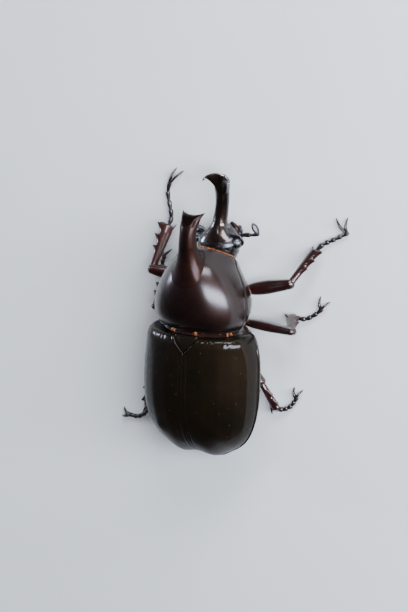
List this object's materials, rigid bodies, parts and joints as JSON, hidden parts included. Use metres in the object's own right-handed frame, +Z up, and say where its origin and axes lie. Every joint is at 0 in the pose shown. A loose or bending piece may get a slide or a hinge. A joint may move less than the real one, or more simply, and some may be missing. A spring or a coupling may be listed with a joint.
{
  "type": "rhinoceros beetle model",
  "caption": "Male rhinoceros beetle as a still life-size model, standing on its feet, with a forked horn on the head and another on the thorax.",
  "frame": {"origin": "centre of the whole model's footprint, on the surface that it stands on", "axes": "+Y along the body towards the tail, so the head and horns point to -Y; +Z up from the feet to the back; +X towards the beetle's own left side"},
  "size_m": [0.0516, 0.058, 0.0193],
  "materials": {
    "pronotum_cuticle": "polished black-brown shell with a chestnut glow",
    "elytra_cuticle": "smooth glossy black-brown shell, finely pitted",
    "horn_cuticle": "polished black shell with mahogany streaks",
    "underside_cuticle": "satin red-brown shell",
    "leg_cuticle": "glossy dark mahogany shell",
    "tarsus_cuticle": "glossy dark brown shell",
    "antenna_cuticle": "satin red-brown shell with short bristles",
    "eye_cornea": "polished black, finely faceted"
  },
  "bodies": {
    "root": {"head": "horn_cuticle", "head_horn": "horn_cuticle", "eye_left": "eye_cornea", "eye_right": "eye_cornea", "antenna_left": "antenna_cuticle", "antenna_right": "antenna_cuticle", "mandible_left": "horn_cuticle", "mandible_right": "horn_cuticle", "palp_left": "antenna_cuticle", "palp_right": "antenna_cuticle", "pronotum": "pronotum_cuticle", "pronotum_horn": "horn_cuticle", "scutellum": "pronotum_cuticle", "elytron_left": "elytra_cuticle", "elytron_right": "elytra_cuticle", "pterothorax": "underside_cuticle", "abdomen": "underside_cuticle", "pygidium": "underside_cuticle", "coxa_front_right": "leg_cuticle", "femur_front_right": "leg_cuticle", "tibia_front_right": "leg_cuticle", "tarsus_front_right": "tarsus_cuticle", "coxa_front_left": "leg_cuticle", "femur_front_left": "leg_cuticle", "tibia_front_left": "leg_cuticle", "tarsus_front_left": "tarsus_cuticle", "coxa_middle_right": "leg_cuticle", "femur_middle_right": "leg_cuticle", "tibia_middle_right": "leg_cuticle", "tarsus_middle_right": "tarsus_cuticle", "coxa_middle_left": "leg_cuticle", "femur_middle_left": "leg_cuticle", "tibia_middle_left": "leg_cuticle", "tarsus_middle_left": "tarsus_cuticle", "coxa_hind_right": "leg_cuticle", "femur_hind_right": "leg_cuticle", "tibia_hind_right": "leg_cuticle", "tarsus_hind_right": "tarsus_cuticle", "coxa_hind_left": "leg_cuticle", "femur_hind_left": "leg_cuticle", "tibia_hind_left": "leg_cuticle", "tarsus_hind_left": "tarsus_cuticle"}
  },
  "joints": []
}
